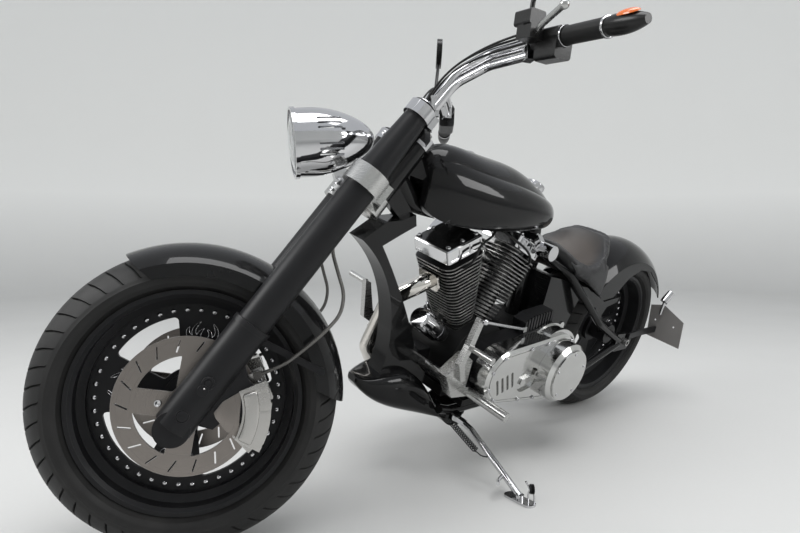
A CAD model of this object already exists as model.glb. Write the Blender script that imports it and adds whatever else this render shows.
"""Looks of a long, low chopper that leans on its side stand.

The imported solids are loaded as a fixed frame. Each operator below dresses one
group of parts: treaded tyres, rivets and flames, bolts, cables, lenses, a
padded seat and the stage. Sizes inside a piece are millimetres in the frame
of the part that carries it, and settle() carries the piece to its place.
"""
import math

import bmesh
import bpy
from mathutils import Matrix, Vector


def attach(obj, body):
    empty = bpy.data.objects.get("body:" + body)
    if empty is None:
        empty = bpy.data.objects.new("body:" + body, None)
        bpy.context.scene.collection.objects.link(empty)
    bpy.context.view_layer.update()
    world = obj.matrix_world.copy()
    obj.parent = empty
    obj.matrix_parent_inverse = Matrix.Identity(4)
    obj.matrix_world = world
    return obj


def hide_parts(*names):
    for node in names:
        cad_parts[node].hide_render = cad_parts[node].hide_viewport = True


bl_info = {
    "name": "Chopper dressing",
    "version": (1, 0, 0),
    "blender": (4, 5, 0),
    "location": "View3D > Sidebar > Chopper",
    "description": "Tyres, trim, finishes, seat and studio for a parked chopper",
    "category": "Object",
}

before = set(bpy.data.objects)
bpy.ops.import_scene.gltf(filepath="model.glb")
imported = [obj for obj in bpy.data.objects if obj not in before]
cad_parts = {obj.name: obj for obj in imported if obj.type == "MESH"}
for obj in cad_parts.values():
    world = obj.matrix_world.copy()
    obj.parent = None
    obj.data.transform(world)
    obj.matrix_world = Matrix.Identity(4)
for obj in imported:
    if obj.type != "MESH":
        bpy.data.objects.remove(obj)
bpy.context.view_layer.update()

# Frames of the machine's parts, in millimetres, each turned and placed for the lean and the lock
MM = 0.001
LEAN = Matrix((
    (0.999994, 0.001035, -0.003224, -0.790),
    (0.0, 0.952129, 0.305695, -0.3365),
    (0.003386, -0.305694, 0.952124, 0.00604),
    (0, 0, 0, 1),
))
RAKE = math.radians(35)
LOCK = math.radians(-34)
WHEELBASE = 1620
FRONT_RADIUS = 328
REAR_RADIUS = 333
LEG_AXIS = 148
SIDES = (1, -1)
MACHINE = LEAN @ Matrix.Scale(MM, 4)
RAKED = Matrix.Translation((WHEELBASE, 0, FRONT_RADIUS)) @ Matrix.Rotation(-RAKE, 4, "Y")
STEM = Matrix.Translation((-50, 0, 0))
TURNED = STEM @ Matrix.Rotation(LOCK, 4, "Z") @ STEM.inverted()
FORK = MACHINE @ RAKED @ TURNED
STEERED = FORK @ RAKED.inverted()
FRONT_WHEEL = STEERED @ Matrix.Translation((WHEELBASE, 0, FRONT_RADIUS))
REAR_WHEEL = MACHINE @ Matrix.Translation((0, 0, REAR_RADIUS))


# Small helpers

def deselect():
    """Leave edit mode and select nothing."""
    if bpy.context.mode != "OBJECT":
        bpy.ops.object.mode_set(mode="OBJECT")
    bpy.ops.object.select_all(action="DESELECT")


def pick(*objects):
    """Select these objects alone and make the first one active."""
    deselect()
    for obj in objects:
        obj.select_set(True)
    bpy.context.view_layer.objects.active = objects[0]
    return objects[0]


def added():
    """The object that the last operator added."""
    return bpy.context.view_layer.objects.active


def apply_modifier(obj, kind, **values):
    """Add one modifier with its values and apply it."""
    pick(obj)
    modifier = obj.modifiers.new(kind.title(), kind)
    for key, value in values.items():
        setattr(modifier, key, value)
    bpy.ops.object.modifier_apply(modifier=modifier.name)


def choose_faces(obj, test):
    """Select, in edit mode, the faces whose middle and normal pass the test."""
    mesh = bmesh.from_edit_mesh(obj.data)
    for face in mesh.faces:
        face.select_set(bool(test(face.calc_center_median(), face.normal)))
    bmesh.update_edit_mesh(obj.data)


def edit(obj, action="DESELECT"):
    """Go to edit mode on one object, choosing by face, with no face or every face selected."""
    pick(obj)
    bpy.ops.object.mode_set(mode="EDIT")
    bpy.ops.mesh.select_mode(type="FACE")
    bpy.ops.mesh.select_all(action=action)


def outward(obj):
    """Merge doubles and turn all faces outwards."""
    edit(obj, "SELECT")
    bpy.ops.mesh.remove_doubles(threshold=0.001)
    bpy.ops.mesh.normals_make_consistent(inside=False)
    bpy.ops.object.mode_set(mode="OBJECT")


def join(objects):
    """Join objects into one piece."""
    pick(*objects)
    if len(objects) > 1:
        bpy.ops.object.join()
    return added()


def freeze(obj):
    """Bring a piece to the origin, unturned and unscaled, with its mesh where it stood."""
    pick(obj)
    bpy.ops.object.transform_apply(location=True, rotation=True, scale=True)
    return obj


def settle(obj, name, place, body, look="chrome", smooth=35):
    """Carry a piece to its place on the machine, finish it and let it ride on its body."""
    obj.name = name
    obj.matrix_world = place @ obj.matrix_world
    freeze(obj)
    bpy.ops.object.shade_smooth_by_angle(angle=math.radians(smooth))
    obj.data.name = name
    obj.data.materials.clear()
    obj.data.materials.append(finish[look])
    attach(obj, body)
    return obj


def touch(node, place, start, toward):
    """Where a line in a part's frame first meets a solid, and the way out of it there."""
    begin = place @ Vector(start)
    way = (place.to_3x3() @ Vector(toward)).normalized()
    hit, spot, normal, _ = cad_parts[node].ray_cast(begin, way)
    if not hit:
        raise RuntimeError(f"no surface of {node} from {tuple(start)}")
    back = place.inverted()
    out = (back.to_3x3() @ normal).normalized()
    if out.dot(Vector(toward)) > 0:
        out = -out
    return back @ spot, out


def spread(mould, spots):
    """Copy a mould, each copy with its own mesh, to spots given as place and way out."""
    made = []
    for place, out in spots:
        copy = mould.copy()
        copy.data = mould.data.copy()
        bpy.context.scene.collection.objects.link(copy)
        copy.matrix_world = Matrix.Translation(place) @ aim(out) @ mould.matrix_world
        made.append(copy)
    bpy.data.objects.remove(mould)
    return join(made)


def socket_screw(head, height, sides=20):
    """Cap screw that stands on the origin, with a hexagon-like recess in its head."""
    deselect()
    bpy.ops.mesh.primitive_cylinder_add(vertices=sides, radius=head, depth=height, location=(0, 0, height / 2))
    screw = added()
    edit(screw)
    choose_faces(screw, lambda middle, normal: normal.z > 0.9)
    bpy.ops.mesh.inset(thickness=head * 0.48)
    bpy.ops.mesh.extrude_region_move(TRANSFORM_OT_translate={"value": (0, 0, -height * 0.45)})
    apply_modifier(screw, "BEVEL", width=head * 0.13, segments=2, limit_method="ANGLE")
    return screw


def dome(radius, height, rows=6, around=14):
    """Closed domed head on the origin, cut from a sphere."""
    deselect()
    bpy.ops.mesh.primitive_uv_sphere_add(segments=around, ring_count=rows, radius=radius)
    head = added()
    edit(head, "SELECT")
    bpy.ops.mesh.bisect(plane_co=(0, 0, 0), plane_no=(0, 0, 1), clear_inner=True, use_fill=True)
    bpy.ops.object.mode_set(mode="OBJECT")
    head.scale = (1, 1, height / radius)
    return freeze(head)


def band(radius, wall, height, around=40, bevel=0.6):
    """Ring round Z with its middle on the origin, radius measured to its outside."""
    deselect()
    bpy.ops.mesh.primitive_cylinder_add(vertices=around, radius=radius, depth=height, end_fill_type="NOTHING")
    ring = added()
    apply_modifier(ring, "SOLIDIFY", thickness=wall, offset=-1.0)
    apply_modifier(ring, "BEVEL", width=bevel, segments=2, limit_method="ANGLE")
    return ring


def lathe(profile, around=48):
    """Solid of revolution round Z from (radius, height) points, from axis to axis."""
    deselect()
    bpy.ops.mesh.primitive_grid_add(x_subdivisions=1, y_subdivisions=len(profile) - 1, size=1)
    sheet = added()
    edit(sheet)
    bpy.ops.mesh.select_mode(type="VERT")
    mesh = bmesh.from_edit_mesh(sheet.data)
    mesh.verts.ensure_lookup_table()
    rows = sorted(mesh.verts, key=lambda vert: (round(vert.co.y, 6), vert.co.x))
    for step, (radius, height) in enumerate(profile):
        rows[2 * step].co = (radius, 0, height)
    bmesh.ops.delete(mesh, geom=[rows[2 * step + 1] for step in range(len(profile))], context="VERTS")
    bmesh.update_edit_mesh(sheet.data)
    bpy.ops.mesh.select_all(action="SELECT")
    bpy.ops.mesh.spin(steps=around, angle=2 * math.pi, center=(0, 0, 0), axis=(0, 0, 1))
    outward(sheet)
    return sheet


def tube(points, radius, around=3, closed=False):
    """Round cable or wire along a smooth line through its control points."""
    curve = bpy.data.curves.new("line", "CURVE")
    curve.dimensions = "3D"
    curve.bevel_depth = radius
    curve.bevel_resolution = around
    curve.resolution_u = 8
    curve.use_fill_caps = True
    spline = curve.splines.new("NURBS")
    spline.points.add(len(points) - 1)
    for point, place in zip(spline.points, points):
        point.co = (*place, 1)
    spline.order_u = 3
    spline.use_cyclic_u = closed
    spline.use_endpoint_u = not closed
    wire = bpy.data.objects.new("line", curve)
    bpy.context.scene.collection.objects.link(wire)
    pick(wire)
    bpy.ops.object.convert(target="MESH")
    return added()


def arc_block(inner, outer, low, high, start, end, side):
    """Curved block round a wheel's axis, between two radii, two distances out and two angles."""
    deselect()
    bpy.ops.mesh.primitive_plane_add(size=1)
    block = added()
    corners = ((inner, low), (outer, low), (inner, high), (outer, high))
    for vert, (radius, y) in zip(block.data.vertices, corners):
        vert.co = round_y(radius, start, side * y)
    edit(block, "SELECT")
    bpy.ops.mesh.spin(steps=14, angle=math.radians(end - start), center=(0, 0, 0), axis=(0, 1, 0))
    bpy.ops.mesh.select_all(action="SELECT")
    bpy.ops.mesh.remove_doubles(threshold=0.001)
    bpy.ops.mesh.select_mode(type="EDGE")
    bpy.ops.mesh.select_all(action="DESELECT")
    bpy.ops.mesh.select_non_manifold()
    bpy.ops.mesh.edge_face_add()
    outward(block)
    return block


def flat_plate(outline, low, high, side):
    """Flat plate square to a wheel's axis, its outline given as points with no height."""
    deselect()
    bpy.ops.mesh.primitive_circle_add(vertices=len(outline), fill_type="NGON")
    plate = added()
    for vert, point in zip(plate.data.vertices, outline):
        vert.co = (point.x, side * low, point.z)
    edit(plate, "SELECT")
    bpy.ops.mesh.extrude_region_move(TRANSFORM_OT_translate={"value": (0, side * (high - low), 0)})
    outward(plate)
    apply_modifier(plate, "BEVEL", width=0.6, segments=2, limit_method="ANGLE")
    return plate


def clamp(value):
    """Value held between nought and one."""
    return min(max(value, 0), 1)


def inward(side):
    """Way from one side towards the machine's middle plane."""
    return 0, -side, 0


def aim(axis):
    """Turn that lays Z along an axis."""
    return Vector(axis).to_track_quat("Z", "Y").to_matrix().to_4x4()


def put(obj, place, axis=(0, 0, 1)):
    """Move a piece made on the origin to a place in the same frame, with Z along an axis."""
    obj.matrix_world = Matrix.Translation(place) @ aim(axis) @ obj.matrix_world
    return freeze(obj)


def lay(obj, place, *ways):
    """Lay a piece's X, Y and Z along three vectors from a place, stretched by their lengths."""
    obj.matrix_world = Matrix.Translation(place) @ Matrix(ways).transposed().to_4x4()
    return freeze(obj)


def round_y(radius, degrees, y):
    """Point on a circle round a wheel's axis, its angle from straight ahead upwards."""
    angle = math.radians(degrees)
    return Vector((radius * math.cos(angle), y, radius * math.sin(angle)))


# Shader groups that several finishes share

def group_in(tree, name, value):
    """Named input of a shader group, a number or a colour or vector of three."""
    kind = "NodeSocketFloat" if isinstance(value, (int, float)) else "NodeSocketVector"
    socket = tree.interface.new_socket(name=name, in_out="INPUT", socket_type=kind)
    socket.default_value = value


def node(tree, kind, links=None, **values):
    """Shader node with attributes set, and inputs linked or set by name or number."""
    made = tree.nodes.new("ShaderNode" + kind)
    for key, value in values.items():
        setattr(made, key, value)
    for key, value in (links or {}).items():
        if isinstance(value, bpy.types.NodeSocket):
            tree.links.new(value, made.inputs[key])
        else:
            made.inputs[key].default_value = value
    return made


def here(tree):
    """Place of the shaded point in the object's own space."""
    return node(tree, "TexCoord").outputs["Object"]


def ramp(tree, value, *ends):
    """Value carried from one range to another: from low, from high, to low, to high."""
    return node(tree, "MapRange", dict(enumerate((value, *ends)))).outputs[0]


def noise(tree, place, scale, detail):
    """Noise from nought to one round a place."""
    return node(tree, "TexNoise", {"Vector": place, "Scale": scale, "Detail": detail}).outputs["Fac"]


def calc(tree, operation, *values, **more):
    """Result of a maths node."""
    return node(tree, "Math", dict(enumerate(values)), operation=operation, **more).outputs[0]


def start_group(name, inputs, outputs):
    """Empty shader group with its sockets, the nodes of its two ends returned."""
    tree = bpy.data.node_groups.new(name, "ShaderNodeTree")
    for key, value in inputs.items():
        group_in(tree, key, value)
    for key in outputs:
        tree.interface.new_socket(name=key, in_out="OUTPUT", socket_type="NodeSocketFloat")
    return tree, tree.nodes.new("NodeGroupInput").outputs, tree.nodes.new("NodeGroupOutput").inputs


def build_groups():
    """Edge rub, grain, brushed lines, turned rings, dust and braid, each as one group."""
    tree, given, out = start_group("Edge rub", {"Radius": 0.001, "Break up": 60.0}, ["Mask"])
    bevel = node(tree, "Bevel", {"Radius": given["Radius"]}, samples=3)
    shape = node(tree, "NewGeometry")
    dot = node(tree, "VectorMath", {0: bevel.outputs["Normal"], 1: shape.outputs["Normal"]}, operation="DOT_PRODUCT")
    bend = ramp(tree, dot.outputs["Value"], 0.99, 0.86, 0.0, 1.0)
    patch = noise(tree, here(tree), given["Break up"], 3.0)
    spotty = ramp(tree, patch, 0.3, 0.6, 0.35, 1.0)
    mask = calc(tree, "MULTIPLY", bend, spotty)
    tree.links.new(mask, out["Mask"])

    tree, given, out = start_group("Grain", {"Fine scale": 400.0, "Broad scale": 8.0}, ["Fine", "Broad"])
    fine = noise(tree, here(tree), given["Fine scale"], 4.0)
    broad = noise(tree, here(tree), given["Broad scale"], 5.0)
    tree.links.new(fine, out["Fine"])
    tree.links.new(broad, out["Broad"])

    tree, given, out = start_group("Brushed lines", {"Stretch": (20.0, 900.0, 900.0)}, ["Lines"])
    drawn = node(tree, "VectorMath", {0: here(tree), 1: given["Stretch"]}, operation="MULTIPLY")
    lines = noise(tree, drawn.outputs[0], 1.0, 3.0)
    tree.links.new(lines, out["Lines"])

    tree, given, out = start_group(
        "Turned rings", {"Centre": (0.0, 0.0, 0.0), "Axis": (0.0, 0.0, 1.0), "Fineness": 900.0}, ["Rings", "Radius"]
    )
    arm = node(tree, "VectorMath", {0: here(tree), 1: given["Centre"]}, operation="SUBTRACT")
    square = node(tree, "VectorMath", {0: arm.outputs[0], 1: given["Axis"]}, operation="CROSS_PRODUCT")
    far = node(tree, "VectorMath", {0: square.outputs[0]}, operation="LENGTH")
    rings = node(
        tree, "TexNoise", {"W": far.outputs["Value"], "Scale": given["Fineness"], "Detail": 3.0}, noise_dimensions="1D"
    )
    tree.links.new(rings.outputs["Fac"], out["Rings"])
    tree.links.new(far.outputs["Value"], out["Radius"])

    tree, given, out = start_group("Dust", {"Amount": 0.3, "Patch scale": 14.0}, ["Mask"])
    shape = node(tree, "NewGeometry")
    up = node(tree, "SeparateXYZ", {0: shape.outputs["Normal"]})
    lying = ramp(tree, up.outputs["Z"], 0.1, 1.0, 0.25, 1.0)
    patch = noise(tree, here(tree), given["Patch scale"], 6.0)
    spotty = ramp(tree, patch, 0.35, 0.7, 0.0, 1.0)
    both = calc(tree, "MULTIPLY", lying, spotty)
    mask = calc(tree, "MULTIPLY", both, given["Amount"])
    tree.links.new(mask, out["Mask"])

    tree, given, out = start_group("Braid", {"Scale": 700.0}, ["Height"])
    one = node(
        tree, "TexWave", {"Vector": here(tree), "Scale": given["Scale"], "Distortion": 1.0},
        bands_direction="DIAGONAL",
    )
    other = node(tree, "TexWave", {"Vector": here(tree), "Scale": given["Scale"]}, bands_direction="Z")
    woven = calc(tree, "MULTIPLY", one.outputs["Fac"], other.outputs["Fac"])
    tree.links.new(woven, out["Height"])


def place_group(tree, name, **values):
    """One use of a shared group, with its own values."""
    made = tree.nodes.new("ShaderNodeGroup")
    made.node_tree = bpy.data.node_groups[name]
    made.label = name
    for key, value in values.items():
        made.inputs[key.replace("_", " ")].default_value = value
    return made.outputs


def blend_colour(tree, mask, first, second):
    """Mix of two colours by a mask, each a grey value, three parts or a socket."""
    inputs = {0: mask}
    for place, value in ((6, first), (7, second)):
        if not isinstance(value, bpy.types.NodeSocket):
            value = (*value, 1.0) if hasattr(value, "__len__") else (value, value, value, 1.0)
        inputs[place] = value
    return node(tree, "Mix", inputs, data_type="RGBA").outputs[2]


def tint(tree, mask, shade):
    """Lay a colour over a finished surface where the mask is one."""
    base = tree.nodes["Principled BSDF"].inputs["Base Color"]
    tree.links.new(blend_colour(tree, mask, base.links[0].from_socket, shade), base)


def surface(
    name, base, other, rough, metal=0.0, coat=0.0, coat_rough=0.03, grain=400.0, patches=8.0,
    bump=0.15, depth=0.0002, rub=None, rub_radius=0.0012, dust=0.0, lines=None, specular=0.5,
):
    """Finish with colour that drifts between two tones, worn edges, dust and a fine surface.

    rough is a pair, from and to. rub is the colour of a bare edge. lines is a socket
    maker called with the tree, for a brushed or woven surface in place of the grain.
    """
    made = bpy.data.materials.new(name)
    made.use_nodes = True
    tree = made.node_tree
    shader = tree.nodes["Principled BSDF"]
    grains = place_group(tree, "Grain", Fine_scale=grain, Broad_scale=patches)
    tone = blend_colour(tree, grains["Broad"], base, other)
    fine = lines(tree) if lines else grains["Fine"]
    shader.inputs["Metallic"].default_value = metal
    shader.inputs["Specular IOR Level"].default_value = specular
    shader.inputs["Coat Weight"].default_value = coat
    shader.inputs["Coat Roughness"].default_value = coat_rough
    mixed = calc(tree, "MULTIPLY", grains["Broad"], fine)
    gloss = ramp(tree, mixed, 0.12, 0.45, rough[0], rough[1])
    if rub:
        mask = place_group(tree, "Edge rub", Radius=rub_radius)["Mask"]
        tone = blend_colour(tree, mask, tone, rub)
        bare = ramp(tree, mask, 0.0, 1.0, metal, 1.0)
        tree.links.new(bare, shader.inputs["Metallic"])
    if dust:
        mask = place_group(tree, "Dust", Amount=dust)["Mask"]
        tone = blend_colour(tree, mask, tone, (0.36, 0.35, 0.33))
        gloss = calc(tree, "ADD", gloss, mask, use_clamp=True)
    height = node(tree, "Bump", {"Height": fine, "Strength": bump, "Distance": depth})
    tree.links.new(tone, shader.inputs["Base Color"])
    tree.links.new(gloss, shader.inputs["Roughness"])
    tree.links.new(height.outputs[0], shader.inputs["Normal"])
    return made


def brushed(stretch):
    """Maker of drawn lines for surface()."""
    return lambda tree: place_group(tree, "Brushed lines", Stretch=stretch)["Lines"]


def turned(place, fineness=900.0):
    """Maker of rings turned round the Y axis of a part's frame, for surface()."""
    centre = place @ Vector((0, 0, 0))
    axis = (place.to_3x3() @ Vector((0, 1, 0))).normalized()
    return lambda tree: place_group(tree, "Turned rings", Centre=centre, Axis=axis, Fineness=fineness)["Rings"]


finish = {}


def build_finishes(tones):
    """Every finish of the machine, by a plain name."""
    finish["paint"] = surface(
        "Gloss black paint", tones.paint, 0.004, (0.16, 0.24), coat=0.45, coat_rough=0.025, grain=260,
        bump=0.03, depth=0.0001, dust=0.008, specular=0.05,
    )
    finish["satin"] = surface(
        "Satin black powder coat", (0.0075, 0.0075, 0.0085), (0.012, 0.012, 0.013), (0.34, 0.46),
        grain=900, bump=0.12, depth=0.0001, rub=0.09, rub_radius=0.0008, dust=0.015, specular=0.2,
    )
    finish["engine"] = surface(
        "Wrinkle black engine coat", 0.007, 0.013, (0.36, 0.55), grain=1300, bump=0.35,
        rub=(0.4, 0.4, 0.39), rub_radius=0.0009, dust=0.02, specular=0.25,
    )
    finish["fins"] = surface(
        "Black fins with bright edges", 0.006, 0.011, (0.3, 0.46), grain=1300, bump=0.25,
        rub=(0.86, 0.85, 0.83), rub_radius=0.003, dust=0.01, specular=0.25,
    )
    finish["chrome"] = surface(
        "Polished chrome", tones.chrome, (0.5, 0.5, 0.51), (0.04, 0.12), metal=1.0, grain=120, bump=0.02,
        depth=0.0001, dust=0.02,
    )
    finish["bright cover"] = surface(
        "Polished cover alloy", (0.66, 0.66, 0.65), (0.52, 0.52, 0.51), (0.09, 0.2), metal=1.0, grain=60,
        bump=0.05, depth=0.0003, dust=0.03,
    )
    finish["alloy"] = surface(
        "Brushed alloy", (0.55, 0.55, 0.54), (0.42, 0.42, 0.41), (0.2, 0.36), metal=1.0, bump=0.12,
        rub=0.8, rub_radius=0.0008, lines=brushed((60.0, 60.0, 1600.0)),
    )
    finish["caliper"] = surface(
        "Polished cast alloy", (0.52, 0.51, 0.49), (0.38, 0.37, 0.355), (0.16, 0.32), metal=1.0, grain=240,
        bump=0.16, depth=0.0004, rub=0.86, rub_radius=0.001,
    )
    finish["front rotor"] = surface(
        "Ground rotor steel", (0.27, 0.245, 0.225), (0.2, 0.182, 0.168), (0.26, 0.42), metal=1.0,
        bump=0.22, depth=0.0001, lines=turned(FRONT_WHEEL), rub=0.7, rub_radius=0.0006,
    )
    finish["steel"] = surface(
        "Turned steel", (0.5, 0.49, 0.48), (0.4, 0.39, 0.38), (0.22, 0.36), metal=1.0, bump=0.12,
        lines=brushed((900.0, 60.0, 900.0)), rub=0.7, rub_radius=0.0006,
    )
    finish["tyre"] = surface(
        "Tyre rubber", (0.0095, 0.0095, 0.0098), (0.0165, 0.016, 0.0155), (0.46, 0.68), grain=1500,
        patches=16, bump=0.3, dust=0.05, specular=0.25,
    )
    finish["rubber"] = surface(
        "Soft black rubber", 0.008, 0.013, (0.42, 0.58), grain=1800, bump=0.25, dust=0.02,
        specular=0.25,
    )
    finish["plastic"] = surface(
        "Black moulded housing", 0.006, 0.010, (0.24, 0.36), grain=1400, bump=0.1, dust=0.012,
        coat=0.15, coat_rough=0.12, specular=0.25,
    )
    finish["plate"] = surface(
        "Matt plate back", (0.17, 0.163, 0.158), (0.215, 0.205, 0.197), (0.5, 0.66), grain=700,
        patches=11, bump=0.1, rub=0.4, rub_radius=0.0008, dust=0.12,
    )
    finish["amber"] = surface(
        "Amber lens", (0.75, 0.16, 0.008), (0.6, 0.11, 0.006), (0.1, 0.2), coat=0.8, grain=420, bump=0.3,
    )
    finish["mirror"] = surface(
        "Mirror glass", (0.82, 0.83, 0.84), (0.76, 0.77, 0.78), (0.01, 0.03), metal=1.0, grain=30,
        bump=0.0, coat=1.0, coat_rough=0.01,
    )
    finish["reflector"] = surface(
        "Lamp reflector", 0.8, 0.7, (0.05, 0.12), metal=1.0, grain=60, bump=0.1,
    )
    finish["hose"] = surface(
        "Braided steel hose", (0.2, 0.195, 0.185), (0.1, 0.095, 0.09), (0.26, 0.42), metal=0.9, bump=0.7,
        depth=0.0005, lines=lambda tree: place_group(tree, "Braid", Scale=480.0)["Height"],
    )
    finish["pipe"] = surface(
        "Exhaust chrome", (0.74, 0.73, 0.71), (0.6, 0.56, 0.5), (0.05, 0.16), metal=1.0, grain=90,
        patches=5, bump=0.03, dust=0.04,
    )
    finish["belt"] = surface(
        "Drive belt", 0.011, 0.018, (0.5, 0.65), bump=0.5, depth=0.0004,
        lines=turned(REAR_WHEEL, 1400.0), dust=0.08,
    )
    finish["glass"] = clear_glass()


def clear_glass():
    """Clear moulded lamp glass with fine flutes."""
    made = bpy.data.materials.new("Lamp glass")
    made.use_nodes = True
    tree = made.node_tree
    shader = tree.nodes["Principled BSDF"]
    shader.inputs["Transmission Weight"].default_value = 0.92
    shader.inputs["IOR"].default_value = 1.46
    grains = place_group(tree, "Grain", Fine_scale=160.0, Broad_scale=20.0)
    tone = blend_colour(tree, grains["Broad"], (0.9, 0.93, 0.95), 0.97)
    tree.links.new(tone, shader.inputs["Base Color"])
    gloss = ramp(tree, grains["Broad"], 0.3, 0.7, 0.02, 0.07)
    tree.links.new(gloss, shader.inputs["Roughness"])
    flutes = node(tree, "Bump", {"Height": place_group(tree, "Brushed lines", Stretch=(30.0, 260.0, 30.0))["Lines"],
                                 "Strength": 0.25, "Distance": 0.001})
    tree.links.new(flutes.outputs[0], shader.inputs["Normal"])
    return made


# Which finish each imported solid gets

NODE_FINISH = {
    "paint": "fuel_tank frame_backbone frame_down_member frame_rear front_fender rear_fender oil_tank",
    "satin": "front_axle fender_stays front_rim rear_rim rear_pulley fork_sliders fork_tubes inner_primary "
             "starter_cover plate_bracket",
    "engine": "crankcase transmission",
    "fins": "front_cylinder rear_cylinder",
    "chrome": "headlight_shell headlight_bracket handlebar triple_clamp_upper oil_filter air_cleaner shift_rod "
              "pushrod_covers plate_light side_stand ignition_switch",
    "bright cover": "primary_cover clutch_cover",
    "alloy": "triple_clamp_lower hand_levers carburettor left_control right_control",
    "caliper": "front_calipers",
    "front rotor": "front_brake_discs",
    "steel": "rear_axle steering_stem",
    "tyre": "front_tyre rear_tyre",
    "rubber": "grips seat",
    "belt": "drive_belt",
    "plastic": "bar_end_signals master_cylinders switch_housings mirrors",
    "plate": "plate",
    "hose": "brake_hose_left brake_hose_right",
    "pipe": "front_exhaust rear_exhaust",
    "glass": "headlight_lens",
    "rocker": "front_rocker_box rear_rocker_box",
}
FINISH_OF = {name: key for key, names in NODE_FINISH.items() for name in names.split()}
CRANK = Vector((785, 0, 345))
BORE_TILT = math.radians(22.5)


def bore_axis(side):
    """Way up a cylinder, 1 for the front one and -1 for the rear one."""
    return Vector((math.sin(BORE_TILT) * side, 0, math.cos(BORE_TILT)))


def bore_point(side, along, across, up):
    """Point in a cylinder's own directions, from the crank, in the machine's frame."""
    ahead = Vector((math.cos(BORE_TILT), 0, -math.sin(BORE_TILT) * side))
    return CRANK + ahead * along + Vector((0, across, 0)) + bore_axis(side) * up


def rocker_finish(side):
    """Chrome rocker box whose flat top is black."""
    made = surface(
        f"Rocker chrome with black top {side}", (0.74, 0.74, 0.75), 0.62, (0.05, 0.16), metal=1.0,
        grain=120, bump=0.04, dust=0.04,
    )
    tree = made.node_tree
    shader = tree.nodes["Principled BSDF"]
    axis = (LEAN.to_3x3() @ bore_axis(side)).normalized()
    start = (MACHINE @ CRANK).dot(axis)
    dot = node(tree, "VectorMath", {0: here(tree), 1: axis}, operation="DOT_PRODUCT")
    top = ramp(tree, dot.outputs["Value"], start + 0.3915, start + 0.3925, 0.0, 1.0)
    tint(tree, top, 0.015)
    bare = calc(tree, "SUBTRACT", 1.0, top)
    tree.links.new(bare, shader.inputs["Metallic"])
    return made


class ChopperTones(bpy.types.PropertyGroup):
    """Colours of the machine."""

    paint: bpy.props.FloatVectorProperty(
        name="Paint", description="Colour of tank, fenders and frame", subtype="COLOR", default=(0.0085, 0.0085, 0.009),
        min=0, max=1,
    )
    chrome: bpy.props.FloatVectorProperty(
        name="Chrome", description="Tone of the plated parts", subtype="COLOR", default=(0.66, 0.66, 0.67),
        min=0, max=1,
    )
    hide_pan: bpy.props.FloatVectorProperty(
        name="Seat pan", description="Leather colour in the dish of the seat", subtype="COLOR",
        default=(0.062, 0.053, 0.047), min=0, max=1,
    )
    hide_skirt: bpy.props.FloatVectorProperty(
        name="Seat skirt", description="Leather colour on the sides of the seat", subtype="COLOR",
        default=(0.021, 0.021, 0.023), min=0, max=1,
    )
    floor: bpy.props.FloatVectorProperty(
        name="Floor", description="Colour of the studio floor", subtype="COLOR", default=(0.56, 0.56, 0.55),
        min=0, max=1,
    )


class ChopperSizes(bpy.types.PropertyGroup):
    """Sizes of the trim, in millimetres."""

    groove_pitch: bpy.props.FloatProperty(
        name="Groove pitch", description="Angle from one tread groove to the next", subtype="ANGLE",
        default=math.radians(7.5), min=0.05,
    )
    groove_depth: bpy.props.FloatProperty(name="Groove depth", description="Depth of the tread, mm", default=6.0, min=0)
    rivets: bpy.props.IntProperty(name="Rivets", description="Rivets round each wheel disc", default=42, min=3)
    rivet_radius: bpy.props.FloatProperty(name="Rivet radius", description="Radius of a rivet head, mm", default=6.0)
    rivet_circle: bpy.props.FloatProperty(
        name="Rivet circle", description="Radius of the ring of rivets, mm", default=194,
    )
    cable_radius: bpy.props.FloatProperty(name="Cable radius", description="Radius of a control cable, mm", default=2.6)
    seat_swell: bpy.props.FloatProperty(name="Seat swell", description="Most that the padding may rise, mm", default=6)


class ChopperFinishes(bpy.types.Operator):
    """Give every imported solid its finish"""

    bl_idname = "chopper.finishes"
    bl_label = "Finishes"

    def execute(self, context):
        build_groups()
        build_finishes(context.scene.chopper_tones)
        finish["rear rocker"] = rocker_finish(-1)
        finish["rocker"] = rocker_finish(1)
        for name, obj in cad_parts.items():
            key = "rear rocker" if name == "rear_rocker_box" else FINISH_OF[name]
            for slot in obj.material_slots:
                slot.material = finish[key]
        return {"FINISHED"}


# The photograph's viewpoint, in metres and radians, with its lens
CAMERA_PLACE = (1.35755, 1.03054, 0.69828)
CAMERA_TURN = (math.radians(86.5), 0, math.radians(138))
CAMERA_LENS = 27
# Floor, its upward sweep and the wall, in metres, and the height over which floor turns to wall colour
FLOOR_REACH, SWEEP_RADIUS, WALL_TOP, WALL_BLEND = 6.0, 2.0, 5.5, 1.2
# Name, place, width and height, watts, and the point it faces
LAMPS = (
    ("overhead", (0.4, 0.6, 4.2), (3.4, 2.2), 115, (0, 0, 0.2)),
    ("window", (3.2, -1.6, 2.6), (2.0, 1.6), 70, (0.2, -0.2, 0.5)),
    ("side", (-1.8, 3.8, 2.2), (2.2, 1.4), 70, (-0.2, -0.2, 0.4)),
)


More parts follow.
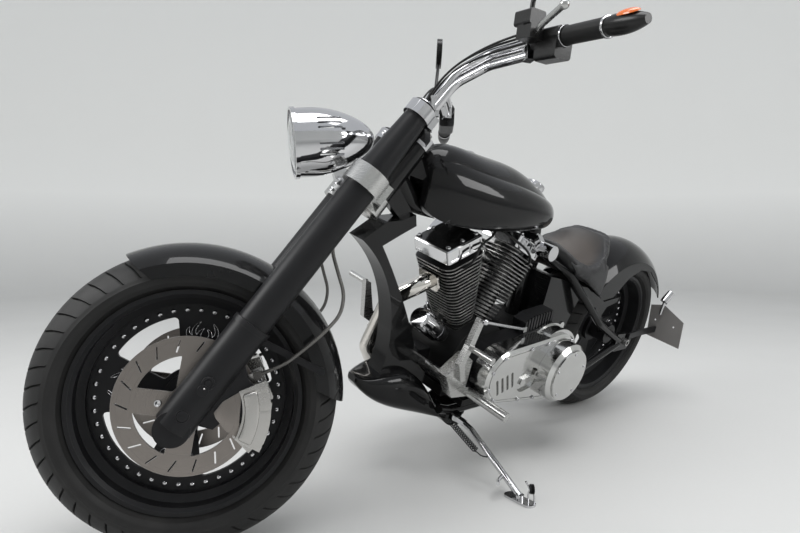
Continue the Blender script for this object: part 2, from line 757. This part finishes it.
class ChopperStage(bpy.types.Operator):
    """Camera at the photograph's place, pale floor, plain backdrop and soft lamps"""

    bl_idname = "chopper.stage"
    bl_label = "Stage"

    def execute(self, context):
        scene = context.scene
        deselect()
        bpy.ops.object.camera_add(location=CAMERA_PLACE, rotation=CAMERA_TURN)
        camera = added()
        camera.data.lens = CAMERA_LENS
        camera.data.sensor_width = 36
        camera.data.clip_end = 60
        scene.camera = camera
        scene.view_settings.view_transform = "Standard"
        # Floor that sweeps up into an all-round backdrop
        sweep = [(0, 0), (0.5, 0), (FLOOR_REACH, 0)]
        for step in range(1, 9):
            angle = math.radians(90 * step / 8)
            sweep.append((FLOOR_REACH + SWEEP_RADIUS * math.sin(angle), SWEEP_RADIUS - SWEEP_RADIUS * math.cos(angle)))
        sweep.append((FLOOR_REACH + SWEEP_RADIUS, WALL_TOP))
        floor = lathe(sweep, around=96)
        floor.name = "studio_floor"
        edit(floor, "SELECT")
        bpy.ops.mesh.normals_make_consistent(inside=True)
        pick(floor)
        bpy.ops.object.shade_smooth_by_angle(angle=math.radians(60))
        tone = scene.chopper_tones.floor
        pale = surface(
            "Studio floor", tone, [0.96 * part for part in tone], (0.42, 0.55), grain=90, patches=1.6, bump=0.02,
            specular=0.3,
        )
        tree = pale.node_tree
        height = node(tree, "SeparateXYZ", {0: here(tree)})
        tint(tree, ramp(tree, height.outputs["Z"], 0.0, WALL_BLEND, 0.0, 1.0), (0.9, 0.9, 0.88))
        floor.data.materials.append(pale)
        world = bpy.data.worlds.new("Studio")
        world.use_nodes = True
        scene.world = world
        sky = world.node_tree.nodes["Background"]
        sky.inputs["Color"].default_value = (0.93, 0.96, 1.0, 1.0)
        sky.inputs["Strength"].default_value = 0.7
        for name, place, size, power, look in LAMPS:
            light = bpy.data.lights.new(name, "AREA")
            light.shape = "RECTANGLE"
            light.size, light.size_y = size
            light.energy = power
            lamp = bpy.data.objects.new(name, light)
            scene.collection.objects.link(lamp)
            lamp.location = place
            lamp.rotation_euler = (Vector(look) - Vector(place)).to_track_quat("-Z", "Y").to_euler()
        return {"FINISHED"}


def tyre_section(radius, width, drop, rim_half):
    """Outline of a tyre's section as (y, radius, tread share) points, all round."""
    seat, flange, half = 229.0, 245.0, width / 2 - 6
    bead = rim_half - 7.3
    shoulder = radius - drop
    bulge = flange + 0.42 * (shoulder - flange)

    def arc(a, b, c, steps):
        """Points on the circle through three points, from a to c."""
        (ax, ay), (bx, by), (cx, cy) = a, b, c
        d = 2 * (ax * (by - cy) + bx * (cy - ay) + cx * (ay - by))
        ux = ((ax**2 + ay**2) * (by - cy) + (bx**2 + by**2) * (cy - ay) + (cx**2 + cy**2) * (ay - by)) / d
        uy = ((ax**2 + ay**2) * (cx - bx) + (bx**2 + by**2) * (ax - cx) + (cx**2 + cy**2) * (bx - ax)) / d
        r = math.hypot(ax - ux, ay - uy)
        t0 = math.atan2(ay - uy, ax - ux)
        turn = (math.atan2(cy - uy, cx - ux) - t0 + math.pi) % (2 * math.pi) - math.pi
        angles = [t0 + turn * i / steps for i in range(steps + 1)]
        return [(ux + r * math.cos(angle), uy + r * math.sin(angle)) for angle in angles]

    crown = arc((-half, shoulder), (0, radius), (half, shoulder), 26)
    left = arc((half, shoulder), (width / 2 - 1, bulge), (rim_half, flange), 14)[1:]
    # Raised lines round the sidewall, as a moulded tyre has
    steps = {3: 1.4, 5: -0.8, 10: 1.2, 12: -0.6}
    left = [(y + steps.get(i, 0.0), r) for i, (y, r) in enumerate(left)]
    right = [(-y, r) for y, r in reversed(left)]
    inside = [(bead, 241.0), (bead, 229.6), (0, seat + 0.6), (-bead, 229.6), (-bead, 241.0)]
    return [(y, r, y / half) for y, r in crown] + [(y, r, 2.0) for y, r in left] + [(y, r, 3.0) for y, r in inside] + [
        (y, r, -2.0) for y, r in right
    ]


def make_tyre(name, radius, width, drop, rim_half, place, body, sizes):
    """Tyre with curved shoulder grooves cut along the columns of its mesh."""
    section = tyre_section(radius, width, drop, rim_half)
    grooves = round(2 * math.pi / sizes.groove_pitch)
    pitch = 2 * math.pi / grooves
    lands = ((0.0, 0.0), (0.03, 1.0), (0.11, 1.0), (0.14, 0.0), (0.57, 0.0))
    deselect()
    bpy.ops.mesh.primitive_torus_add(major_segments=grooves * len(lands), minor_segments=len(section))
    tyre = added()
    places = []
    for column in range(grooves * len(lands)):
        share, cut = lands[column % len(lands)]
        start = (column // len(lands) + share) * pitch
        for y, r, across in section:
            reach = min(abs(across), 1.08)
            side = 1 if across > 0 else -1
            lead = side * pitch * (0.25 * min(reach / 0.2, 1.0) + 0.95 * max(reach - 0.15, 0) ** 1.4)
            into = clamp((reach - 0.24) / 0.12) * clamp((1.07 - reach) / 0.06) if abs(across) <= 1.5 else 0.0
            deep = sizes.groove_depth * cut * into
            angle = start + lead
            places.append(((r - deep) * math.cos(angle), y - side * deep * 0.35, (r - deep) * math.sin(angle)))
    tyre.data.vertices.foreach_set("co", [part for spot in places for part in spot])
    outward(tyre)
    return settle(tyre, name, place, body, "tyre", 28)


class ChopperTyres(bpy.types.Operator):
    """Tyres with road tread, in place of the plain ones"""

    bl_idname = "chopper.tyres"
    bl_label = "Tyres"

    def execute(self, context):
        sizes = context.scene.chopper_sizes
        front = make_tyre("front_tyre_treaded", FRONT_RADIUS, 180, 45, 72, FRONT_WHEEL, "front_wheel", sizes)
        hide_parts("front_tyre")
        rear = make_tyre("rear_tyre_treaded", REAR_RADIUS, 210, 48, 88, REAR_WHEEL, "rear_wheel", sizes)
        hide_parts("rear_tyre")
        return {"FINISHED"}


# Height of the flames over the middle of the wheel, and the outline of one, as (sideways, outwards) in millimetres
FLAME_FACE = Vector((0, 13.2, 0))
FLAME = (
    (3, 118), (4, 130), (9, 138), (7, 148), (3, 155), (9, 152), (14, 145), (15, 137), (19, 143), (19, 152), (15, 161),
    (12, 170), (20, 163), (25, 153), (26, 143), (23, 134), (28, 138), (32, 146), (31, 154), (36, 147), (35, 136),
    (30, 126), (28, 118),
)


class ChopperWheelTrim(bpy.types.Operator):
    """Rivets and outlined flames on the wheel discs"""

    bl_idname = "chopper.wheel_trim"
    bl_label = "Wheel trim"

    def execute(self, context):
        sizes = context.scene.chopper_sizes
        for end, place in (("front", FRONT_WHEEL), ("rear", REAR_WHEEL)):
            body = f"{end}_wheel"
            turns = [360 * step / sizes.rivets for step in range(sizes.rivets)]
            spots = [
                touch(f"{end}_rim", place, round_y(sizes.rivet_circle, degrees, side * 60), inward(side))
                for degrees in turns for side in SIDES
            ]
            settle(spread(dome(sizes.rivet_radius, 4.0), spots), f"{body}_rivets", place, body, smooth=60)
            lines = []
            for spoke in range(4):
                along, across = round_y(1, 10 + 90 * spoke, 0), round_y(1, 100 + 90 * spoke, 0)
                for flip in SIDES:
                    line = [along * out + across * (flip * 1.15 * (aside - 1)) + FLAME_FACE for aside, out in FLAME]
                    lines.append(tube(line, 1.3, around=1, closed=True))
            settle(join(lines), f"{body}_flames", place, body, smooth=60)
        return {"FINISHED"}


class ChopperBrakeTrim(bpy.types.Operator):
    """Rotor buttons, caliper castings with their carriers and bolts, and axle plugs"""

    bl_idname = "chopper.brake_trim"
    bl_label = "Brake trim"

    def execute(self, context):
        spots = [
            touch("front_brake_discs", FRONT_WHEEL, round_y(56, 7 + 90 * step, side * 130), inward(side))
            for side in SIDES for step in range(4)
        ]
        settle(spread(socket_screw(7.5, 4), spots), "rotor_buttons", FRONT_WHEEL, "front_wheel")
        spots = [
            touch("front_calipers", FRONT_WHEEL, round_y(radius, degrees, side * 170), inward(side))
            for side in SIDES for degrees, radius in ((158, 156), (182, 163), (206, 156))
        ]
        settle(spread(socket_screw(5.5, 4), spots), "caliper_bolts", FRONT_WHEEL, "steering")
        castings, carriers, plugs = [], [], []
        outline = ((118, 158), (118, 206), (90, 204), (62, 190), (57, 180), (77, 163))
        for side in SIDES:
            lug, _ = touch("fork_sliders", FRONT_WHEEL, round_y(112, 180, side * 300), inward(side))
            low = abs(lug.y) + 0.3
            body = arc_block(113, 169, low, low + 10, 157, 208, side)
            notches = []
            for degrees in (165, 178, 191, 203):
                deselect()
                middle = round_y(176, degrees, side * low)
                bpy.ops.mesh.primitive_cylinder_add(vertices=24, radius=8, depth=60, location=middle)
                added().rotation_euler = (math.pi / 2, 0, 0)
                notches.append(added())
            cutter = join(notches)
            apply_modifier(body, "BOOLEAN", object=cutter, operation="DIFFERENCE", solver="EXACT")
            bpy.data.objects.remove(cutter)
            apply_modifier(body, "BEVEL", width=1.6, segments=3, limit_method="ANGLE", angle_limit=math.radians(40))
            kidney = arc_block(117, 146, low + 9, low + 19, 161, 206, side)
            apply_modifier(kidney, "BEVEL", width=6, segments=4, limit_method="ANGLE", angle_limit=math.radians(40))
            castings += [body, kidney]
            carriers.append(flat_plate([round_y(*corner, 0) for corner in outline], low, low + 3, side))
            plug = lathe([(0, 1.2), (8, 1.2), (10, 0), (10, -1), (0, -1)], 32)
            plugs.append(put(plug, (0, side * 187.4, 0), (0, side, 0)))
        settle(join(castings), "caliper_castings", FRONT_WHEEL, "steering", "caliper")
        settle(join(carriers), "caliper_carriers", FRONT_WHEEL, "steering", "front rotor")
        settle(join(plugs), "axle_plugs", FRONT_WHEEL, "steering", "satin")
        return {"FINISHED"}


class ChopperForkTrim(bpy.types.Operator):
    """Slider caps and pips, clamp bolts, fork top caps and wiper rings"""

    bl_idname = "chopper.fork_trim"
    bl_label = "Fork trim"

    def execute(self, context):
        profile = [(0, 3.5), (6, 3.5), (7, 2.0), (9, 2.0), (10, 3.5), (12.5, 3.2), (13.5, 1.5), (13.5, -2), (0, -2)]
        caps = [
            put(lathe(profile, 32), *touch("fork_sliders", FORK, (0, side * 260, 78), inward(side))) for side in SIDES
        ]
        settle(join(caps), "slider_badge_caps", FORK, "steering", "satin")
        spots = [
            touch("fork_sliders", FORK, (0, side * 260, up), inward(side)) for side in SIDES for up in (66.5, 89.5)
        ]
        settle(spread(dome(2.2, 1.6), spots), "slider_pips", FORK, "steering", "steel", 60)
        spots = []
        for side in SIDES:
            for up in (590, 612):
                for end in (1, -1):
                    spots.append(touch("triple_clamp_lower", FORK, (end * 140, side * 118, up), (-end, 0, 0)))
            spots.append(touch("triple_clamp_upper", FORK, (140, side * 122, 795), (-1, 0, 0)))
        settle(spread(socket_screw(5.5, 5), spots), "clamp_bolts", FORK, "steering")
        profile = [(0, 9), (9, 9), (12, 7.5), (20, 6), (24, 3), (25, 0), (25, -3), (0, -3)]
        caps = [
            put(lathe(profile, 40), *touch("fork_tubes", FORK, (0, side * LEG_AXIS, 900), (0, 0, -1)))
            for side in SIDES
        ]
        settle(join(caps), "fork_top_caps", FORK, "steering")
        # Wiper ring where each slider ends
        rings = [put(band(41.2, 2.2, 5), (0, side * LEG_AXIS, 214)) for side in SIDES]
        settle(join(rings), "slider_wipers", FORK, "steering", "satin")
        return {"FINISHED"}


def bar_points(side):
    """Centre line of one half of the bar, in the fork's own frame."""
    return [
        Vector(place) for place in (
            (-46, side * 54, 810.3), (-18.2, side * 56, 877.1), (-15.9, side * 86, 953.6), (-43.6, side * 160, 1004.7),
            (-83.6, side * 262, 1027.8), (-147.5, side * 455, 1035.9),
        )
    ]


# The world's upright, before the lean, in the fork's own frame
UPRIGHT = Vector((math.sin(RAKE), 0, math.cos(RAKE)))


def on_bar(side, distance):
    """Place and direction this far out along the straight end of the bar."""
    inner, outer = bar_points(side)[4:]
    way = (outer - inner).normalized()
    return inner + way * distance, way


class ChopperBarTrim(bpy.types.Operator):
    """Grip rings, amber lenses and the cables along the bar"""

    bl_idname = "chopper.bar_trim"
    bl_label = "Bar trim"

    def execute(self, context):
        thick = context.scene.chopper_sizes.cable_radius
        rings, lenses, wires = [], [], []
        for side in SIDES:
            for distance, radius in ((101, 21.5), (205, 21.0)):
                rings.append(put(band(radius, 5, 5.5, bevel=1.0), *on_bar(side, distance)))
            place, way = on_bar(side, 252)
            ahead = side * way.cross(UPRIGHT).normalized()
            up = (UPRIGHT + ahead * 0.55 - way * UPRIGHT.dot(way)).normalized()
            spot, _ = touch("bar_end_signals", FORK, place + up * 60, -up)
            lens = dome(25, 7.5, rows=8, around=28)
            lenses.append(lay(lens, spot - up * 2.4, way, way.cross(up).normalized() * 0.55, up))
        settle(join(rings), "grip_rings", FORK, "steering")
        settle(join(lenses), "amber_lenses", FORK, "steering", "amber", 60)
        # Control cables, tied along the bar and down to the clamp
        for side, offsets in ((1, ((19, 3), (14, -12), (-13, -11))), (-1, ((17, 2), (-13, -12)))):
            for shift, drop in offsets:
                line = [on_bar(side, 20)[0] + Vector((shift, 0, drop))]
                line += [place + Vector((shift, -side * 6, drop)) for place in reversed(bar_points(side)[1:5])]
                line += [Vector(place) for place in (
                    (-20 + shift * 0.6, side * 34, 835), (-48, side * 22, 826), (-72, side * 18, 800),
                    (-80, side * 16, 765),
                )]
                wires.append(tube(line, thick))
        bends = bar_points(1)
        wires.append(tube([
            on_bar(1, 30)[0] + Vector((20, 0, 12)), bends[4] + Vector((26, -4, 8)), bends[3] + Vector((25, 4, -6)),
            bends[2] + Vector((23, 10, -22)), Vector((-2, 50, 850)), Vector((-30, 40, 826)), Vector((-60, 26, 800)),
        ], thick))
        settle(join(wires), "bar_cables", FORK, "steering", "rubber", 60)
        return {"FINISHED"}


class ChopperMirrors(bpy.types.Operator):
    """Glass of the two mirrors"""

    bl_idname = "chopper.mirrors"
    bl_label = "Mirror glass"

    def execute(self, context):
        panes = []
        for side in SIDES:
            place, way = on_bar(side, 92)
            ahead = side * way.cross(UPRIGHT).normalized()
            rise = (UPRIGHT - way * UPRIGHT.dot(way)).normalized()
            pane = lathe([(0, 1.2), (33, 1.2), (34.5, 0.6), (35.5, -1.5), (0, -1.5)], 56)
            lay(pane, place + rise * 214 + ahead * 40 - ahead * 16.3, way * 1.66, rise, -ahead)
            outward(pane)
            panes.append(pane)
        settle(join(panes), "mirror_glass", FORK, "steering", "mirror", 50)
        return {"FINISHED"}


class ChopperTankTrim(bpy.types.Operator):
    """Filler cap and round gauge on the tank"""

    bl_idname = "chopper.tank_trim"
    bl_label = "Tank trim"

    def execute(self, context):
        spot, out = touch("fuel_tank", MACHINE, (905, -40, 1100), (0, 0, -1))
        cap = lathe([(0, 2.6), (24, 2.4), (27, 1.8), (29, 0.8), (30, -3), (0, -3)], 48)
        edit(cap)
        choose_faces(cap, lambda middle, normal: normal.z > 0.95 and middle.xy.length < 16)
        bpy.ops.mesh.inset(thickness=1.5)
        bpy.ops.transform.translate(value=(0, 0, -1.2))
        bpy.ops.object.mode_set(mode="OBJECT")
        settle(put(cap, spot, out), "filler_cap", MACHINE, "machine")
        spot, out = touch("fuel_tank", MACHINE, (604, 0, 1100), (0, 0, -1))
        cup = lathe([(0, -6), (30, -6), (31, 8), (30, 15), (26, 18), (23.5, 18), (22.5, 16), (0, 16)], 48)
        settle(put(cup, spot, out), "gauge_cup", MACHINE, "machine")
        glass = lathe([(0, 20.5), (12, 19.8), (20, 18), (22.8, 16.2), (22.8, 15.4), (0, 15.4)], 48)
        settle(put(glass, spot, out), "gauge_glass", MACHINE, "machine", "plastic", 60)
        return {"FINISHED"}


class ChopperEngineTrim(bpy.types.Operator):
    """Rocker screws, spark plugs with leads and gear cover screws"""

    bl_idname = "chopper.engine_trim"
    bl_label = "Engine trim"

    def execute(self, context):
        spots = [
            touch(box, MACHINE, bore_point(side, along, across, 430), -bore_axis(side))
            for side, box in ((1, "front_rocker_box"), (-1, "rear_rocker_box"))
            for along in (-52, 0, 52) for across in (-58, 58)
        ]
        settle(spread(socket_screw(6.5, 6), spots), "rocker_screws", MACHINE, "machine")
        plugs, leads = [], []
        for side, head in ((1, "front_cylinder"), (-1, "rear_cylinder")):
            spot, _ = touch(head, MACHINE, bore_point(side, 22 * side, 200, 318), inward(1))
            boot = lathe([(0, 34), (6, 34), (7.5, 31), (7.5, 12), (10, 10), (10, 5), (7, 4), (7, -8), (0, -8)], 20)
            plugs.append(put(boot, spot, (0, 1, 0.25)))
            far = spot + Vector((0, 34, 9))
            leads.append(tube([
                far, far + Vector((0, 14, 6)), far + Vector((-side * 18, 22, 34)), far + Vector((-side * 44, 2, 62)),
                Vector((785 + side * 14, 60, 735)), Vector((785 + side * 8, 30, 768)),
                Vector((785 + side * 4, 10, 785)),
            ], 3.6))
        settle(join(plugs), "spark_plug_boots", MACHINE, "machine", "rubber")
        settle(join(leads), "spark_leads", MACHINE, "machine", "rubber", 60)
        spots = [
            touch("crankcase", MACHINE, CRANK + round_y(80, 18 + 36 * step, -400), inward(-1)) for step in range(10)
        ]
        settle(spread(socket_screw(5, 5), spots), "gear_cover_screws", MACHINE, "machine")
        return {"FINISHED"}


class ChopperPrimaryTrim(bpy.types.Operator):
    """Cover and derby screws of the primary drive"""

    bl_idname = "chopper.primary_trim"
    bl_label = "Primary trim"

    def execute(self, context):
        clutch = Vector((535, 0, 338))
        starts = [
            middle + round_y(radius, degrees, 330)
            for middle, radius, turns in ((CRANK, 74, (-62, -20, 22, 66)), (clutch, 101, (118, 170, 222, 268)))
            for degrees in turns
        ]
        starts += [
            CRANK.lerp(clutch, along) + Vector((0, 330, rim * (74 + 27 * along)))
            for along in (0.36, 0.68) for rim in (-1, 1)
        ]
        spots = [touch("primary_cover", MACHINE, start, inward(1)) for start in starts]
        settle(spread(socket_screw(6, 5), spots), "primary_screws", MACHINE, "machine")
        spots = [
            touch("clutch_cover", MACHINE, clutch + round_y(72, 90 + 72 * step, 330), inward(1)) for step in range(5)
        ]
        settle(spread(socket_screw(4.5, 2.5), spots), "derby_screws", MACHINE, "machine")
        return {"FINISHED"}


class ChopperSeat(bpy.types.Operator):
    """Padded solo seat, whose dish swells under its leather"""

    bl_idname = "chopper.seat"
    bl_label = "Seat"

    def execute(self, context):
        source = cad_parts["seat"]
        deselect()
        pad = bpy.data.objects.new("pad", source.data.copy())
        context.scene.collection.objects.link(pad)
        pad.data.transform(source.matrix_world)
        edit(pad, "SELECT")
        bpy.ops.mesh.remove_doubles(threshold=0.00005)
        apply_modifier(pad, "REMESH", mode="VOXEL", voxel_size=0.005)
        apply_modifier(pad, "SMOOTH", factor=0.5, iterations=34)
        apply_modifier(pad, "DISPLACE", strength=0.003, mid_level=0.0)
        self.round_back(pad)
        rest = [vert.co.copy() for vert in pad.data.vertices]
        pick(pad)
        cloth = pad.modifiers.new("Cloth", "CLOTH")
        cloth.settings.quality = 4
        cloth.settings.use_pressure = True
        cloth.settings.uniform_pressure_force = 4
        cloth.settings.effector_weights.gravity = 0
        cloth.point_cache.frame_end = 20
        for step in range(1, 21):
            context.scene.frame_set(step)
        bpy.ops.object.modifier_apply(modifier=cloth.name)
        context.scene.frame_set(1)
        most = context.scene.chopper_sizes.seat_swell * MM
        for vert, start in zip(pad.data.vertices, rest):
            move = vert.co - start
            if move.length > most:
                vert.co = start + move.normalized() * most
        apply_modifier(pad, "SMOOTH", factor=0.5, iterations=3)
        apply_modifier(pad, "SUBSURF", levels=1, render_levels=1)
        finish["leather"] = self.leather(context.scene.chopper_tones)
        settle(pad, "padded_seat", Matrix.Identity(4), "machine", "leather", 80)
        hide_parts("seat")
        return {"FINISHED"}

    def round_back(self, pad):
        """Draw the two rear corners of the pan in and down, so that its back is an arc."""
        back = MACHINE.inverted()
        for vert in pad.data.vertices:
            place = back @ vert.co
            corner = clamp((abs(place.y) - 12) / 72) ** 2
            share = clamp((310 - place.x) / 145) * corner * clamp((place.z - REAR_RADIUS - 300) / 70)
            place += Vector((24 * share, -math.copysign(6 * share, place.y), -13 * share))
            vert.co = MACHINE @ place
        apply_modifier(pad, "SMOOTH", factor=0.5, iterations=12)

    def leather(self, tones):
        """Leather that is browner and smoother in the dish than on the skirt."""
        made = surface(
            "Seat leather", tones.hide_skirt, 0.03, (0.32, 0.5), grain=900, patches=10, bump=0.3,
            depth=0.0003, dust=0.02, specular=0.3,
        )
        tree = made.node_tree
        middle = MACHINE @ Vector((330, 0, 700))
        axis = (LEAN.to_3x3() @ Vector((-0.25, 0, 1))).normalized()
        ring = place_group(tree, "Turned rings", Centre=middle, Axis=axis, Fineness=40.0)["Radius"]
        tint(tree, ramp(tree, ring, 0.125, 0.1, 0.0, 1.0), tones.hide_pan)
        return made


class ChopperStandTrim(bpy.types.Operator):
    """Return spring beside the stand's leg, and the looped tang with its rubber roller"""

    bl_idname = "chopper.stand_trim"
    bl_label = "Stand trim"

    def execute(self, context):
        pivot, foot = Vector((850, 126, 180)), Vector((908, 452, 135.5))
        top = pivot + Vector((36, 16, 0))
        low = pivot.lerp(foot, 0.47) + Vector((22, 0, 0))
        way = (low - top).normalized()
        aside = way.cross(Vector((0, 0, 1))).normalized()
        lift = way.cross(aside)
        line = [top - way * 10, top - way * 2]
        turns, around, coil = 14, 8, 8.5
        for step in range(turns * around + 1):
            angle = 2 * math.pi * step / around
            middle = top.lerp(low, 0.03 + 0.8 * step / (turns * around))
            line.append(middle + aside * coil * math.cos(angle) + lift * coil * math.sin(angle))
        line += [top.lerp(low, 0.87), low, pivot.lerp(foot, 0.5)]
        settle(tube(line, 1.7, around=1), "stand_spring", MACHINE, "side_stand", "satin", 60)
        # Tang that rises from the foot plate, and the roller between its arms
        up = Vector((0.003, -0.306, 0.952))
        axle = Vector((-0.74, 0.64, 0.2)).normalized()
        hub = foot + up * 36 + Vector((-17, 6, 0))
        bend = hub - axle * 6
        arms = [
            [foot + up * 6 + Vector((-6, 2, 0)), foot + up * 16 + Vector((-5, 2, 0)), bend, hub - axle * 2],
            [bend, hub - axle * 9 + up * 8, hub - axle * 16 + up * 20],
            [foot + up * 6 + Vector((-18, 12, 0)), foot + up * 18 + Vector((-22, 12, 0)), hub + axle * 3],
        ]
        settle(join([tube(arm, 2.6) for arm in arms]), "stand_hook", MACHINE, "side_stand", smooth=60)
        roller = lathe([
            (0, -6), (9, -6), (12, -5), (13, -3), (11.4, -2), (13, -1), (11.4, 0), (13, 1), (11.4, 2), (13, 3), (12, 5),
            (9, 6), (0, 6),
        ], 28)
        settle(put(roller, hub, axle), "stand_roller", MACHINE, "side_stand", "rubber")
        return {"FINISHED"}


PIECES = (
    ChopperFinishes, ChopperStage, ChopperTyres, ChopperWheelTrim, ChopperBrakeTrim, ChopperForkTrim, ChopperBarTrim,
    ChopperMirrors, ChopperTankTrim, ChopperEngineTrim, ChopperPrimaryTrim, ChopperSeat, ChopperStandTrim,
)


class ChopperPanel(bpy.types.Panel):
    """Sizes, colours and pieces of the chopper"""

    bl_idname = "CHOPPER_PT_dressing"
    bl_label = "Chopper"
    bl_space_type = "VIEW_3D"
    bl_region_type = "UI"
    bl_category = "Chopper"

    def draw(self, context):
        column = self.layout.column()
        for group in (context.scene.chopper_tones, context.scene.chopper_sizes):
            for key in group.__annotations__:
                column.prop(group, key)
        for piece in PIECES:
            column.operator(piece.bl_idname)


def register():
    """Register the classes and hang their settings on the scene."""
    for kind in (ChopperTones, ChopperSizes, *PIECES, ChopperPanel):
        bpy.utils.register_class(kind)
    bpy.types.Scene.chopper_tones = bpy.props.PointerProperty(type=ChopperTones)
    bpy.types.Scene.chopper_sizes = bpy.props.PointerProperty(type=ChopperSizes)


def unregister():
    """Undo register()."""
    del bpy.types.Scene.chopper_sizes
    del bpy.types.Scene.chopper_tones
    for kind in reversed((ChopperTones, ChopperSizes, *PIECES, ChopperPanel)):
        bpy.utils.unregister_class(kind)


def main():
    """Dress the machine piece by piece and note the boxes of the solids and of the whole."""
    register()
    for piece in PIECES:
        family, name = piece.bl_idname.split(".")
        getattr(getattr(bpy.ops, family), name)()
    deselect()


if __name__ == "__main__":
    main()
